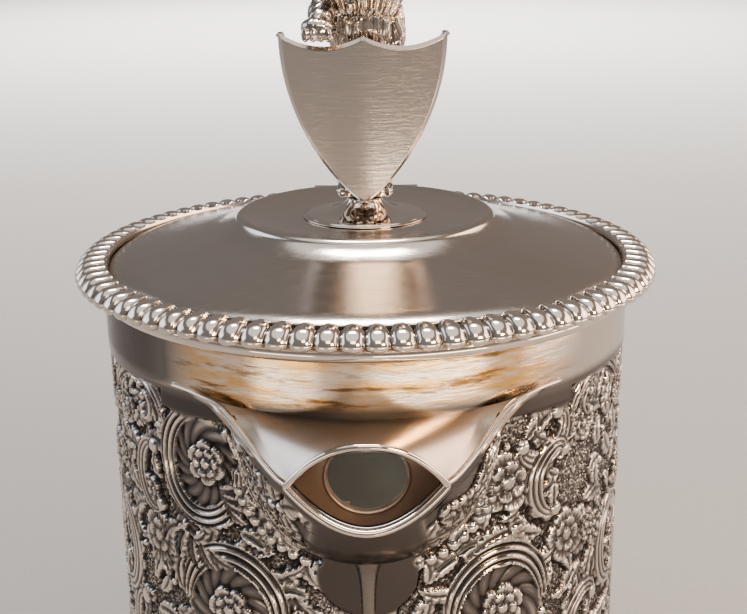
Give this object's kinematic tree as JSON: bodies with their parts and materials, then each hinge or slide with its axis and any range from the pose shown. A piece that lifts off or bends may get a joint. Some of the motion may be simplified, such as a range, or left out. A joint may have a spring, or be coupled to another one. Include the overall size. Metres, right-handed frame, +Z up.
{
  "type": "lidded cream jug",
  "caption": "Covered silver cream jug with a chased drum body, hooded beak spout, hinged gadrooned lid, lion and shield finial, and a scroll handle with insulating collars.",
  "frame": {"origin": "on the table, under the middle of the jug's whole length and width, spout and handle included", "axes": "+Z up, -Y towards the spout, +Y towards the handle, X along the hinge pin"},
  "size_m": [0.084, 0.1258, 0.1403],
  "materials": {
    "polished_silver": "polished",
    "chased_silver": "polished relief with oxidised hollows",
    "brushed_silver": "polished with fine straight wear lines",
    "cast_silver": "cast and chased, oxidised hollows",
    "plain_silver": "plain turned",
    "insulator": "turned ivory-coloured insulating material"
  },
  "bodies": {
    "jug": {"body_wall": "chased_silver", "base_plate": "polished_silver", "foot_rim": "polished_silver", "rim_wire": "polished_silver", "spout_hood": "polished_silver", "spout_bowl": "polished_silver", "spout_lip_wire": "polished_silver", "spout_drop": "chased_silver", "hinge_leaf_body": "polished_silver", "hinge_knuckle_1": "polished_silver", "hinge_knuckle_3": "polished_silver", "hinge_knuckle_5": "polished_silver", "hinge_pin": "plain_silver", "handle_socket_upper": "polished_silver", "insulator_upper": "insulator", "handle_pin_upper_1": "polished_silver", "handle_pin_upper_2": "polished_silver", "handle_socket_lower": "polished_silver", "insulator_lower": "insulator", "handle_pin_lower_1": "polished_silver", "handle_pin_lower_2": "polished_silver", "handle_grip": "polished_silver"},
    "lid": {"hinge_leaf_lid": "polished_silver", "hinge_knuckle_2": "polished_silver", "hinge_knuckle_4": "polished_silver", "lid_plate": "brushed_silver", "lid_border": "polished_silver", "lid_bezel": "polished_silver", "finial_plinth": "polished_silver", "shield": "brushed_silver", "lion_figure": "cast_silver", "lion_tail": "cast_silver", "finial_stud": "plain_silver", "finial_washer": "plain_silver", "finial_nut": "plain_silver"}
  },
  "joints": [
    {"name": "lid_hinge", "type": "hinge", "parent": "jug", "child": "lid", "pos_m": [0, 0.03063, 0.0922], "axis": [-1, 0, 0], "range_deg": [0, 95]}
  ]
}
